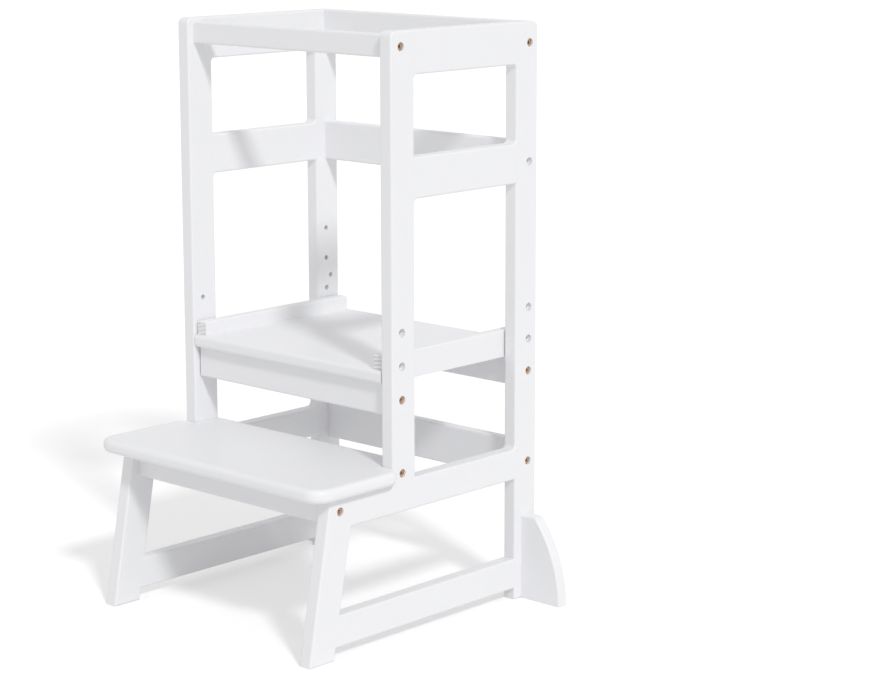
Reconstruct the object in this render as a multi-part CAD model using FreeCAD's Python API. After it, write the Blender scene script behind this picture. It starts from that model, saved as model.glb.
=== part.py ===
import FreeCAD, Part

import math
import os
from collections import namedtuple

# Toddler kitchen helper stool: two side frames joined by cross rails, with a fixed step at the front, a
# platform that bolts on at one of three heights, and a floor wing against tipping on each side.
#
# Millimetres. X runs across the stool, Y from the step in front (-Y) to the back, Z up. The origin is on the
# floor, at the middle of the footprint. One STEP file is written for each piece, or group of like fasteners.

Vector = FreeCAD.Vector

# ---------------------------------------------------------------- driving dimensions: side frames
FRAME_WIDTH = 456.0  # across the outer faces of the two side frames
FRAME_DEPTH = 320.0  # front face of the front posts to rear face of the rear posts
STOOL_HEIGHT = 900.0  # floor to the top of the posts
SIDE_THICKNESS = 23.0  # every board of a side frame, measured along X
POST_WIDTH = 48.0  # front and rear posts, measured along Y
LEG_WIDTH = 49.0  # slanted front leg, square to its length
LEG_LEAN_DEG = 10.6  # lean of the front leg from the vertical
FOOT_REACH = 173.0  # how far the front foot stands ahead of the front posts

TOP_SIDE_RAIL_HEIGHT = 64.0
MID_RAIL_LOW = 656.0  # underside of the rails at two thirds of the height
MID_SIDE_RAIL_HEIGHT = 61.0
STEP_SEAT_HEIGHT = 242.0  # top of the legs and step side rails, where the step board lies
STEP_SIDE_RAIL_HEIGHT = 48.0
BOTTOM_SIDE_RAIL_LOW = 18.5
BOTTOM_SIDE_RAIL_HEIGHT = 48.0

WINDOW_RADIUS = 7.0  # rounded corners of the side windows
TOP_CORNER_RADIUS = 9.0  # outer top corners of the side frames
EDGE_ROUND = 3.0  # softened long edges of frames, rails and cleats

# ---------------------------------------------------------------- driving dimensions: cross rails
RAIL_THICKNESS = 19.0
FRONT_ROW_INSET = 20.5  # front posts' front face to the middle of the rails and bolts there
REAR_ROW_INSET = 18.0  # rear posts' rear face to the middle of the rails and bolts there
TOP_FRONT_RAIL_DROP = 6.0  # top of the posts to the top of the front rail
TOP_FRONT_RAIL_HEIGHT = 33.0
TOP_BACK_RAIL_HEIGHT = 64.0
MID_BACK_RAIL_HEIGHT = 63.0
LOW_BACK_RAIL_RISE = 8.5  # step's seat to the top of the low back rail
LOW_BACK_RAIL_HEIGHT = 63.0
STEP_APRON_HEIGHT = 43.0
STEP_APRON_INSET = 23.0  # leg's front face to the middle of the step's apron, at its mid height

# ---------------------------------------------------------------- driving dimensions: step board
STEP_THICKNESS = 21.0
STEP_SIDE_OVERHANG = 17.0  # past the outer face of each side frame
STEP_NOSE_REACH = 170.0  # front edge, ahead of the front posts
STEP_FRONT_RADIUS = 30.0  # front corners, seen from above
STEP_REAR_RADIUS = 17.0  # corners beside the front posts, seen from above
STEP_REAR_SWEEP_DEG = 78.0  # how far round those corners run before they meet the notch
STEP_RIM_ROUND = 8.5  # rounding of the rim, above and below
STEP_POST_GAP = 0.5  # clearance of the notches round the front posts

# ---------------------------------------------------------------- driving dimensions: platform
PLATFORM_RISE = 142.0  # top of the step board to the standing height at the lowest setting
PLATFORM_THICKNESS = 20.0
PLATFORM_SIDE_GAP = 2.0  # to the inner face of each side frame
PLATFORM_REAR_INSET = 2.0  # rear edge, ahead of the rear posts' rear face
PLATFORM_NOSE_ROUND = 6.0  # rounding of the front edge, above and below
PLATFORM_APRON_HEIGHT = 48.0
PLATFORM_BOLT_DROP = 22.5  # board's underside to the bolts in the aprons
HEIGHT_STEP = 50.0  # spacing of the platform's bolt holes
HEIGHT_SETTINGS = 3
CLEAT_THICKNESS = 19.0
CLEAT_HEIGHT = 22.0
CLEAT_SETBACK = 6.5  # cleat's front end, behind the board's front edge

# ---------------------------------------------------------------- driving dimensions: floor wings
WING_REACH = 78.0  # past the outer face of the side frame, at the floor
WING_HEIGHT = 135.0
WING_TOP_WIDTH = 28.0
WING_TOP_ROUND = 10.0  # corner between the top and the outer arc
WING_THICKNESS = 19.0
WING_INSET = 14.0  # rear posts' rear face to the wing's rear face
WING_EDGE_ROUND = 3.0

# ---------------------------------------------------------------- driving dimensions: bolts and barrel nuts
BOLT_DIAMETER = 6.0
BOLT_LENGTH = 50.0  # under the head
BOLT_HEAD_DIAMETER = 12.0
BOLT_HEAD_HEIGHT = 3.5
BOLT_HEAD_ROUND = 0.7
BOLT_HEAD_SUNK = 3.0  # outer face of the frame to the top of the head
BOLT_SOCKET_ACROSS = 4.0  # across the flats
BOLT_SOCKET_DEPTH = 2.5
BOLT_HOLE_DIAMETER = 8.0
BOLT_TIP_ROOM = 3.0  # empty hole beyond the bolt's tip
COUNTERBORE_DIAMETER = 13.0
NUT_DIAMETER = 10.0
NUT_LENGTH = 14.0
NUT_HOLE_DIAMETER = 10.2
NUT_END_ROOM = 0.5  # hole beyond the nut's inner end
NUT_SLOT_WIDTH = 1.2  # screwdriver slot in the nut's outer end, also its depth
BOLT_PAST_NUT = 4.0  # bolt's tip beyond the nut
THREAD_CLEARANCE = 0.05  # all round the bolt in its nut

# ---------------------------------------------------------------- driving dimensions: dowels and screws
RAIL_DOWEL_DIAMETER = 6.0
RAIL_DOWEL_IN_POST = 11.0
RAIL_DOWEL_IN_RAIL = 17.0
RAIL_DOWEL_EDGE = 11.5  # rail's edge to the middle of a dowel
SLIM_DOWEL_EDGE = 6.0  # the same in the top front rail, which has only one
APRON_DOWEL_EDGE = 7.5  # the same in the step's apron

FRAME_DOWEL_DIAMETER = 8.0
FRAME_DOWEL_IN_POST = 14.0
FRAME_DOWEL_IN_RAIL = 22.0
FRAME_DOWEL_EDGE = 13.0  # rail's edge to the middle of a dowel
POST_FOOT_DOWEL_EDGE = 10.0  # post's face to the middle of a dowel in its foot

BOARD_DOWEL_IN_BOARD = 11.0
BOARD_DOWEL_IN_APRON = 17.0
BOARD_DOWEL_SPACING = 130.0
WING_DOWEL_IN_POST = 13.0
WING_DOWEL_IN_WING = 20.0
WING_DOWEL_LOW = 32.0
WING_DOWEL_HIGH = 98.0
DOWEL_CLEARANCE = 0.05  # all round
DOWEL_END_ROOM = 1.0  # glue room at each end
DOWEL_TIP_CHAMFER = 0.8

CLEAT_SCREW_DIAMETER = 4.0
CLEAT_SCREW_LENGTH = 34.0
CLEAT_SCREW_HEAD_DIAMETER = 8.0
CLEAT_SCREW_SPACING = 110.0
CLEAT_SCREW_CLEARANCE = 0.05

# ---------------------------------------------------------------- driving dimensions: blind pin holes
PIN_HOLE_DIAMETER = 8.0
PIN_HOLE_DEPTH = 10.0
PIN_HOLE_RISE = 37.0  # platform's top at the lowest setting to the lowest hole
PIN_HOLE_INSET = 27.5  # rear posts' rear face to the row
PIN_HOLE_COUNT = 3

# ---------------------------------------------------------------- derived places
CUT_MARGIN = 1.0  # how far a cutting shape starts outside the surface that it cuts
TANGENT_TOLERANCE = 1e-4  # for cuts along a plane that a rounded edge runs into

OUTER_X = FRAME_WIDTH / 2
INNER_X = OUTER_X - SIDE_THICKNESS
MIDDLE_X = OUTER_X - SIDE_THICKNESS / 2

POST_FRONT_Y = (max(FOOT_REACH, STEP_NOSE_REACH) - FRAME_DEPTH) / 2  # puts the footprint's middle at y = 0
WINDOW_FRONT_Y = POST_FRONT_Y + POST_WIDTH
POST_REAR_Y = POST_FRONT_Y + FRAME_DEPTH
WINDOW_REAR_Y = POST_REAR_Y - POST_WIDTH
FRONT_ROW_Y = POST_FRONT_Y + FRONT_ROW_INSET
REAR_ROW_Y = POST_REAR_Y - REAR_ROW_INSET

TOP_SIDE_RAIL_LOW = STOOL_HEIGHT - TOP_SIDE_RAIL_HEIGHT
MID_SIDE_RAIL_TOP = MID_RAIL_LOW + MID_SIDE_RAIL_HEIGHT
STEP_SIDE_RAIL_LOW = STEP_SEAT_HEIGHT - STEP_SIDE_RAIL_HEIGHT
BOTTOM_SIDE_RAIL_TOP = BOTTOM_SIDE_RAIL_LOW + BOTTOM_SIDE_RAIL_HEIGHT

LEG_LEAN = math.radians(LEG_LEAN_DEG)


def leg_front_y(z):
    """Front face of the slanted leg at a height."""
    return POST_FRONT_Y - FOOT_REACH + math.tan(LEG_LEAN) * z


def leg_rear_y(z):
    """Rear face of the slanted leg at a height."""
    return leg_front_y(z) + LEG_WIDTH / math.cos(LEG_LEAN)


STEP_TOP = STEP_SEAT_HEIGHT + STEP_THICKNESS
STEP_SIDE_X = OUTER_X + STEP_SIDE_OVERHANG
STEP_FRONT_Y = POST_FRONT_Y - STEP_NOSE_REACH
STEP_NOTCH_X = INNER_X - STEP_POST_GAP
STEP_NOTCH_Y = POST_FRONT_Y - STEP_POST_GAP
STEP_BOLT_Z = STEP_SEAT_HEIGHT + STEP_THICKNESS / 2
STEP_APRON_LOW = STEP_SEAT_HEIGHT - STEP_APRON_HEIGHT
STEP_APRON_Y = leg_front_y(STEP_SEAT_HEIGHT - STEP_APRON_HEIGHT / 2) + STEP_APRON_INSET

PLATFORM_TOP = STEP_TOP + PLATFORM_RISE
PLATFORM_LOW = PLATFORM_TOP - PLATFORM_THICKNESS
PLATFORM_SIDE_X = INNER_X - PLATFORM_SIDE_GAP
PLATFORM_REAR_Y = POST_REAR_Y - PLATFORM_REAR_INSET
PLATFORM_APRON_LOW = PLATFORM_LOW - PLATFORM_APRON_HEIGHT
PLATFORM_BOLT_Z = PLATFORM_LOW - PLATFORM_BOLT_DROP
CLEAT_FRONT_Y = POST_FRONT_Y + CLEAT_SETBACK

WING_REAR_Y = POST_REAR_Y - WING_INSET
WING_FRONT_Y = WING_REAR_Y - WING_THICKNESS
WING_MIDDLE_Y = WING_REAR_Y - WING_THICKNESS / 2

BOLT_SEAT_X = OUTER_X - BOLT_HEAD_SUNK - BOLT_HEAD_HEIGHT  # underside of the head
BOLT_TIP_X = BOLT_SEAT_X - BOLT_LENGTH
NUT_X = BOLT_TIP_X + BOLT_PAST_NUT + NUT_DIAMETER / 2

ALONG_X = Vector(1, 0, 0)
ALONG_Y = Vector(0, 1, 0)
ALONG_Z = Vector(0, 0, 1)


# ---------------------------------------------------------------- shape helpers
def block(low, high):
    """Box between two opposite corners."""
    size = high - low
    return Part.makeBox(size.x, size.y, size.z, low)


def cylinder(start, direction, length, diameter):
    return Part.makeCylinder(diameter / 2, length, start, direction)


def line(start, end):
    return Part.LineSegment(start, end).toShape()


def arc(start, middle, end):
    return Part.Arc(start, middle, end).toShape()


def mirrored(shape):
    """The same shape on the other side of the stool."""
    return shape.mirror(Vector(0, 0, 0), ALONG_X)


def both_sides(shapes):
    return shapes + [mirrored(shape) for shape in shapes]


def near(value, target):
    return abs(value - target) < 1e-6


def edges_where(shape, test):
    """Edges that pass a test on points spread along them."""
    return [edge for edge in shape.Edges if all(test(point) for point in edge.discretize(5))]


def cut_away(shape, tools):
    return shape.cut(Part.makeCompound(tools))


# ---------------------------------------------------------------- dowels
# behind and ahead: the dowel's length on each side of the joint
Peg = namedtuple("Peg", "joint direction behind ahead diameter")


def dowel(peg):
    """Wooden dowel across a joint, with chamfered ends."""
    start = peg.joint - peg.direction * peg.behind
    rod = cylinder(start, peg.direction, peg.behind + peg.ahead, peg.diameter)
    ends = [edge for edge in rod.Edges if edge.isClosed()]
    return rod.makeChamfer(DOWEL_TIP_CHAMFER, ends)


def dowel_hole(peg):
    """The holes for that dowel in both of its pieces."""
    start = peg.joint - peg.direction * (peg.behind + DOWEL_END_ROOM)
    length = peg.behind + peg.ahead + 2 * DOWEL_END_ROOM
    return cylinder(start, peg.direction, length, peg.diameter + 2 * DOWEL_CLEARANCE)


def frame_pegs():
    """Dowels inside the right side frame: at the rails' ends, and in the front post's foot."""
    rails = [
        (TOP_SIDE_RAIL_LOW, STOOL_HEIGHT, post_rear_y),
        (MID_RAIL_LOW, MID_SIDE_RAIL_TOP, post_rear_y),
        (STEP_SIDE_RAIL_LOW, STEP_SEAT_HEIGHT, leg_rear_y),
        (BOTTOM_SIDE_RAIL_LOW, BOTTOM_SIDE_RAIL_TOP, leg_rear_y),
    ]
    joints = []
    for low, top, front_end in rails:
        for z in (low + FRAME_DOWEL_EDGE, top - FRAME_DOWEL_EDGE):
            joints.append((Vector(MIDDLE_X, front_end(z), z), -ALONG_Y))
            joints.append((Vector(MIDDLE_X, WINDOW_REAR_Y, z), ALONG_Y))
    for y in (POST_FRONT_Y + POST_FOOT_DOWEL_EDGE, WINDOW_FRONT_Y - POST_FOOT_DOWEL_EDGE):
        joints.append((Vector(MIDDLE_X, y, STEP_SEAT_HEIGHT), ALONG_Z))
    return [
        Peg(joint, direction, FRAME_DOWEL_IN_RAIL, FRAME_DOWEL_IN_POST, FRAME_DOWEL_DIAMETER)
        for joint, direction in joints
    ]


def rail_pegs(rail):
    """Dowels from a cross rail's right end into the side frame."""
    return [
        Peg(Vector(INNER_X, rail.y, z), ALONG_X, RAIL_DOWEL_IN_RAIL, RAIL_DOWEL_IN_POST, RAIL_DOWEL_DIAMETER)
        for z in rail.dowel_heights
    ]


def board_pegs(y, z):
    """Upright dowels between the top of an apron and the board on it."""
    return [
        Peg(Vector(x, y, z), ALONG_Z, BOARD_DOWEL_IN_APRON, BOARD_DOWEL_IN_BOARD, RAIL_DOWEL_DIAMETER)
        for x in (-BOARD_DOWEL_SPACING, 0, BOARD_DOWEL_SPACING)
    ]


def wing_pegs():
    """Dowels between the right wing and its rear post."""
    joints = [Vector(OUTER_X, WING_MIDDLE_Y, z) for z in (WING_DOWEL_LOW, WING_DOWEL_HIGH)]
    return [
        Peg(joint, -ALONG_X, WING_DOWEL_IN_WING, WING_DOWEL_IN_POST, FRAME_DOWEL_DIAMETER) for joint in joints
    ]


# ---------------------------------------------------------------- bolts and barrel nuts
def bolt(y, z):
    """Socket-head bolt in the right side frame, pointing inwards."""
    seat = Vector(BOLT_SEAT_X, y, z)
    head = cylinder(seat, ALONG_X, BOLT_HEAD_HEIGHT, BOLT_HEAD_DIAMETER)
    rim = edges_where(head, lambda p: near(p.x, BOLT_SEAT_X + BOLT_HEAD_HEIGHT))
    shank = cylinder(seat, -ALONG_X, BOLT_LENGTH, BOLT_DIAMETER)
    return head.makeFillet(BOLT_HEAD_ROUND, rim).fuse(shank).cut(bolt_socket(y, z))


def bolt_socket(y, z):
    """Hexagonal recess in the head."""
    corner = BOLT_SOCKET_ACROSS / math.sqrt(3)
    top_x = BOLT_SEAT_X + BOLT_HEAD_HEIGHT
    turns = [math.radians(60 * k) for k in range(7)]
    points = [Vector(top_x, y + corner * math.cos(turn), z + corner * math.sin(turn)) for turn in turns]
    return Part.Face(Part.makePolygon(points)).extrude(-ALONG_X * BOLT_SOCKET_DEPTH)


def bolt_hole(y, z):
    """Through hole and counterbore for a bolt in the right side frame."""
    mouth = Vector(OUTER_X + CUT_MARGIN, y, z)
    hole = cylinder(mouth, -ALONG_X, SIDE_THICKNESS + 2 * CUT_MARGIN, BOLT_HOLE_DIAMETER)
    counterbore = cylinder(mouth, -ALONG_X, mouth.x - BOLT_SEAT_X, COUNTERBORE_DIAMETER)
    return hole.fuse(counterbore)


def bolt_channel(y, z):
    """Blind hole for a bolt in a rail's right end."""
    start_x = BOLT_TIP_X - BOLT_TIP_ROOM
    return cylinder(Vector(start_x, y, z), ALONG_X, INNER_X + CUT_MARGIN - start_x, BOLT_HOLE_DIAMETER)


def barrel_nut(y, z, outwards):
    """Barrel nut on a bolt's end; outwards points from the nut to the face that it is put in through."""
    middle = Vector(NUT_X, y, z)
    barrel = cylinder(middle - outwards * (NUT_LENGTH / 2), outwards, NUT_LENGTH, NUT_DIAMETER)
    thread_start = middle - ALONG_X * NUT_DIAMETER
    thread = cylinder(thread_start, ALONG_X, 2 * NUT_DIAMETER, BOLT_DIAMETER + 2 * THREAD_CLEARANCE)
    half_slot = Vector(NUT_DIAMETER, NUT_SLOT_WIDTH, NUT_SLOT_WIDTH) / 2
    slot_middle = middle + outwards * ((NUT_LENGTH - NUT_SLOT_WIDTH) / 2)
    slot = block(slot_middle - half_slot, slot_middle + half_slot)
    return barrel.cut(thread).cut(slot)


def nut_hole(y, z, outwards, face_distance):
    """Blind cross hole for a barrel nut, open at a face at this distance from the bolt's axis."""
    start = Vector(NUT_X, y, z) + outwards * (face_distance + CUT_MARGIN)
    depth = CUT_MARGIN + face_distance + NUT_LENGTH / 2 + NUT_END_ROOM
    return cylinder(start, -outwards, depth, NUT_HOLE_DIAMETER)


# ---------------------------------------------------------------- side frames
def post_rear_y(z):
    """Rear face of the front post, the same at every height."""
    return WINDOW_FRONT_Y


def rounded_outline(corners):
    """Closed wire on the right frame's inner face through (y, z, radius) corners; radius 0 is sharp."""
    points = [Vector(INNER_X, y, z) for y, z, radius in corners]
    bends = []
    for i, (y, z, radius) in enumerate(corners):
        here = points[i]
        back = (points[i - 1] - here).normalize()
        ahead = (points[(i + 1) % len(points)] - here).normalize()
        half_angle = back.getAngle(ahead) / 2
        setback = radius / math.tan(half_angle)
        to_arc = radius / math.sin(half_angle) - radius
        middle = here + (back + ahead).normalize() * to_arc
        bends.append((here + back * setback, middle, here + ahead * setback, radius))
    edges = []
    for i, (start, middle, end, radius) in enumerate(bends):
        if radius > 0:
            edges.append(arc(start, middle, end))
        edges.append(line(end, bends[(i + 1) % len(bends)][0]))
    return Part.Wire(edges)


def frame_outline():
    """Outer edge of a side frame."""
    return rounded_outline(
        [
            (leg_front_y(0), 0, 0),
            (leg_front_y(STEP_SEAT_HEIGHT), STEP_SEAT_HEIGHT, 0),
            (POST_FRONT_Y, STEP_SEAT_HEIGHT, 0),
            (POST_FRONT_Y, STOOL_HEIGHT, TOP_CORNER_RADIUS),
            (POST_REAR_Y, STOOL_HEIGHT, TOP_CORNER_RADIUS),
            (POST_REAR_Y, 0, 0),
            (WINDOW_REAR_Y, 0, 0),
            (WINDOW_REAR_Y, BOTTOM_SIDE_RAIL_LOW, 0),
            (leg_rear_y(BOTTOM_SIDE_RAIL_LOW), BOTTOM_SIDE_RAIL_LOW, 0),
            (leg_rear_y(0), 0, 0),
        ]
    )


def upper_window():
    return rounded_outline(
        [
            (WINDOW_FRONT_Y, MID_SIDE_RAIL_TOP, 0),
            (WINDOW_FRONT_Y, TOP_SIDE_RAIL_LOW, WINDOW_RADIUS),
            (WINDOW_REAR_Y, TOP_SIDE_RAIL_LOW, WINDOW_RADIUS),
            (WINDOW_REAR_Y, MID_SIDE_RAIL_TOP, WINDOW_RADIUS),
        ]
    )


def middle_window():
    return rounded_outline(
        [
            (WINDOW_FRONT_Y, STEP_SEAT_HEIGHT, 0),
            (WINDOW_FRONT_Y, MID_RAIL_LOW, WINDOW_RADIUS),
            (WINDOW_REAR_Y, MID_RAIL_LOW, 0),
            (WINDOW_REAR_Y, STEP_SEAT_HEIGHT, WINDOW_RADIUS),
        ]
    )


def lower_window():
    return rounded_outline(
        [
            (leg_rear_y(BOTTOM_SIDE_RAIL_TOP), BOTTOM_SIDE_RAIL_TOP, 0),
            (leg_rear_y(STEP_SIDE_RAIL_LOW), STEP_SIDE_RAIL_LOW, 0),
            (WINDOW_REAR_Y, STEP_SIDE_RAIL_LOW, 0),
            (WINDOW_REAR_Y, BOTTOM_SIDE_RAIL_TOP, 0),
        ]
    )


def side_panel():
    """The right side frame in one piece, with its long edges softened."""
    face = Part.Face(frame_outline())
    for window in (upper_window(), middle_window(), lower_window()):
        face = face.cut(Part.Face(window))
    panel = face.extrude(ALONG_X * SIDE_THICKNESS).Solids[0]
    rims = edges_where(panel, lambda p: near(p.x, INNER_X) or near(p.x, OUTER_X))
    return panel.makeFillet(EDGE_ROUND, rims)


def rail_region(front_end, low, top):
    """Corners (y, z) of the stretch between the front post or leg and the rear post."""
    return [(front_end(low), low), (WINDOW_REAR_Y, low), (WINDOW_REAR_Y, top), (front_end(top), top)]


def board_regions():
    """The region (y, z) of a side frame that each of its boards takes, with the rails' rounded corners."""
    below, above = -CUT_MARGIN, STOOL_HEIGHT + CUT_MARGIN
    ahead, behind = leg_front_y(below) - CUT_MARGIN, POST_REAR_Y + CUT_MARGIN
    corner = WINDOW_RADIUS + CUT_MARGIN
    seat = STEP_SEAT_HEIGHT
    return {
        "front_leg": [(ahead, below), (leg_rear_y(below), below), (leg_rear_y(seat), seat), (ahead, seat)],
        "front_post": [(ahead, seat), (WINDOW_FRONT_Y, seat), (WINDOW_FRONT_Y, above), (ahead, above)],
        "rear_post": [(WINDOW_REAR_Y, below), (behind, below), (behind, above), (WINDOW_REAR_Y, above)],
        "top_side_rail": rail_region(post_rear_y, TOP_SIDE_RAIL_LOW - corner, above),
        "mid_side_rail": rail_region(post_rear_y, MID_RAIL_LOW - corner, MID_SIDE_RAIL_TOP + corner),
        "step_side_rail": [
            (leg_rear_y(STEP_SIDE_RAIL_LOW), STEP_SIDE_RAIL_LOW),
            (WINDOW_REAR_Y, STEP_SIDE_RAIL_LOW),
            (WINDOW_REAR_Y, seat + corner),
            (WINDOW_FRONT_Y, seat + corner),
            (WINDOW_FRONT_Y, seat),
            (leg_rear_y(seat), seat),
        ],
        "bottom_side_rail": rail_region(leg_rear_y, BOTTOM_SIDE_RAIL_LOW, BOTTOM_SIDE_RAIL_TOP),
    }


def frame_bolt_holes(rails):
    """Every bolt hole of the right side frame."""
    places = [(rail.y, rail.bolt_height) for rail in rails]
    places.append((FRONT_ROW_Y, STEP_BOLT_Z))
    for setting in range(HEIGHT_SETTINGS):
        height = PLATFORM_BOLT_Z + setting * HEIGHT_STEP
        places += [(FRONT_ROW_Y, height), (REAR_ROW_Y, height)]
    return [bolt_hole(y, z) for y, z in places]


def pin_holes():
    """Row of blind holes on the rear post's inner face."""
    y = POST_REAR_Y - PIN_HOLE_INSET
    heights = [PLATFORM_TOP + PIN_HOLE_RISE + k * HEIGHT_STEP for k in range(PIN_HOLE_COUNT)]
    return [
        cylinder(Vector(INNER_X - CUT_MARGIN, y, z), ALONG_X, PIN_HOLE_DEPTH + CUT_MARGIN, PIN_HOLE_DIAMETER)
        for z in heights
    ]


def side_frame_nodes(rails):
    """The seven boards of each side frame, cut from the whole panel, and the dowels in their joints."""
    pegs = frame_pegs() + wing_pegs() + [peg for rail in rails for peg in rail_pegs(rail)]
    holes = frame_bolt_holes(rails) + pin_holes() + [dowel_hole(peg) for peg in pegs]
    panel = cut_away(side_panel(), holes)
    nodes = {}
    for name, corners in board_regions().items():
        points = [Vector(INNER_X - CUT_MARGIN, y, z) for y, z in corners]
        outline = Part.makePolygon(points + points[:1])
        region = Part.Face(outline).extrude(ALONG_X * (SIDE_THICKNESS + 2 * CUT_MARGIN))
        board = panel.common([region], TANGENT_TOLERANCE)
        nodes["right_" + name] = [board]
        nodes["left_" + name] = [mirrored(board)]
    dowels = [dowel(peg) for peg in frame_pegs()]
    nodes["right_side_frame_dowels"] = dowels
    nodes["left_side_frame_dowels"] = [mirrored(one) for one in dowels]
    return nodes


# ---------------------------------------------------------------- cross rails
Rail = namedtuple("Rail", "name y low height half_length bolt_height dowel_heights")


def frame_rail(name, y, low, height, dowel_heights):
    """A rail that butts on both side frames, with its bolt at mid height."""
    return Rail(name, y, low, height, INNER_X, low + height / 2, dowel_heights)


def cross_rails():
    """The rails between the side frames."""
    front_low = STOOL_HEIGHT - TOP_FRONT_RAIL_DROP - TOP_FRONT_RAIL_HEIGHT
    back_low = STOOL_HEIGHT - TOP_BACK_RAIL_HEIGHT
    low_back_low = STEP_SEAT_HEIGHT + LOW_BACK_RAIL_RISE - LOW_BACK_RAIL_HEIGHT

    def pair(low, height, edge):
        return (low + edge, low + height - edge)

    top_back = pair(back_low, TOP_BACK_RAIL_HEIGHT, RAIL_DOWEL_EDGE)
    mid_back = pair(MID_RAIL_LOW, MID_BACK_RAIL_HEIGHT, RAIL_DOWEL_EDGE)
    low_back = pair(low_back_low, LOW_BACK_RAIL_HEIGHT, RAIL_DOWEL_EDGE)
    apron = pair(STEP_APRON_LOW, STEP_APRON_HEIGHT, APRON_DOWEL_EDGE)
    slim = (front_low + SLIM_DOWEL_EDGE,)
    return [
        frame_rail("top_front_rail", FRONT_ROW_Y, front_low, TOP_FRONT_RAIL_HEIGHT, slim),
        frame_rail("top_back_rail", REAR_ROW_Y, back_low, TOP_BACK_RAIL_HEIGHT, top_back),
        frame_rail("mid_back_rail", REAR_ROW_Y, MID_RAIL_LOW, MID_BACK_RAIL_HEIGHT, mid_back),
        frame_rail("low_back_rail", REAR_ROW_Y, low_back_low, LOW_BACK_RAIL_HEIGHT, low_back),
        frame_rail("step_front_apron", STEP_APRON_Y, STEP_APRON_LOW, STEP_APRON_HEIGHT, apron),
    ]


def is_bolted(rail):
    """The mid back rail is held by its dowels alone; its bolt holes in the posts stay empty."""
    return rail.name != "mid_back_rail"


def carries_board(rail):
    return rail.name.endswith("apron")


def rail_board(rail):
    """A rail with softened long edges; an apron's top edges stay square under its board."""
    half_thickness = RAIL_THICKNESS / 2
    top = rail.low + rail.height
    low_corner = Vector(-rail.half_length, rail.y - half_thickness, rail.low)
    high_corner = Vector(rail.half_length, rail.y + half_thickness, top)
    board = block(low_corner, high_corner)

    def is_soft(point):
        on_face = near(abs(point.y - rail.y), half_thickness)
        return on_face and (near(point.z, rail.low) or (near(point.z, top) and not carries_board(rail)))

    return board.makeFillet(EDGE_ROUND, edges_where(board, is_soft))


def rail_node(rail, board_dowels):
    """A rail with its holes: for bolts and barrel nuts, end dowels, and any dowels up into a board."""
    end_holes = [dowel_hole(peg) for peg in rail_pegs(rail)]
    if is_bolted(rail):
        end_holes.append(bolt_channel(rail.y, rail.bolt_height))
        end_holes.append(nut_hole(rail.y, rail.bolt_height, ALONG_Y, RAIL_THICKNESS / 2))
    holes = both_sides(end_holes) + [dowel_hole(peg) for peg in board_dowels]
    return [cut_away(rail_board(rail), holes)]


def cross_rail_nodes(rails):
    nodes = {}
    for rail in rails:
        pegs = board_pegs(rail.y, rail.low + rail.height) if carries_board(rail) else []
        nodes[rail.name] = rail_node(rail, pegs)
    nodes["cross_rail_dowels"] = both_sides([dowel(peg) for rail in rails for peg in rail_pegs(rail)])
    return nodes


def frame_hardware_nodes(rails):
    """Bolts and barrel nuts of the cross rails and the step board."""
    bolted = [rail for rail in rails if is_bolted(rail)]
    bolts = [bolt(rail.y, rail.bolt_height) for rail in bolted] + [bolt(FRONT_ROW_Y, STEP_BOLT_Z)]
    nuts = [barrel_nut(rail.y, rail.bolt_height, ALONG_Y) for rail in bolted]
    nuts.append(barrel_nut(FRONT_ROW_Y, STEP_BOLT_Z, -ALONG_Z))
    return {
        "right_frame_bolts": bolts,
        "left_frame_bolts": [mirrored(one) for one in bolts],
        "frame_barrel_nuts": both_sides(nuts),
    }


# ---------------------------------------------------------------- step board
def step_outline():
    """The step board from above: rounded front corners, and a tongue between the front posts."""
    sweep = math.radians(STEP_REAR_SWEEP_DEG)
    rear_centre_y = STEP_NOTCH_Y - STEP_REAR_RADIUS * math.sin(sweep)
    rear_centre = Vector(STEP_SIDE_X - STEP_REAR_RADIUS, rear_centre_y, 0)
    front_centre = Vector(STEP_SIDE_X - STEP_FRONT_RADIUS, STEP_FRONT_Y + STEP_FRONT_RADIUS, 0)

    def round_from(centre, radius, angle):
        return centre + Vector(math.cos(angle), math.sin(angle), 0) * radius

    rear = [round_from(rear_centre, STEP_REAR_RADIUS, angle) for angle in (sweep, sweep / 2, 0)]
    front = [round_from(front_centre, STEP_FRONT_RADIUS, -angle) for angle in (0, math.pi / 4, math.pi / 2)]
    tongue_end = Vector(STEP_NOTCH_X, WINDOW_FRONT_Y, 0)
    notch = Vector(STEP_NOTCH_X, STEP_NOTCH_Y, 0)
    right = [line(tongue_end, notch), line(notch, rear[0]), arc(*rear), line(rear[2], front[0]), arc(*front)]
    across = [line(end, Vector(-end.x, end.y, 0)) for end in (front[2], tongue_end)]
    return Part.Wire(Part.sortEdges(both_sides(right) + across)[0])


def step_board():
    board = Part.Face(step_outline()).extrude(ALONG_Z * STEP_THICKNESS)
    board.translate(ALONG_Z * STEP_SEAT_HEIGHT)

    def on_rim(point):
        on_edge = near(point.z, STEP_SEAT_HEIGHT) or near(point.z, STEP_TOP)
        ahead_of_notch = point.y < STEP_NOTCH_Y and not near(point.y, STEP_NOTCH_Y)
        beside_post = abs(point.x) > STEP_SIDE_X - STEP_REAR_RADIUS
        return on_edge and (ahead_of_notch or beside_post)

    return board.makeFillet(STEP_RIM_ROUND, edges_where(board, on_rim))


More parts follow.
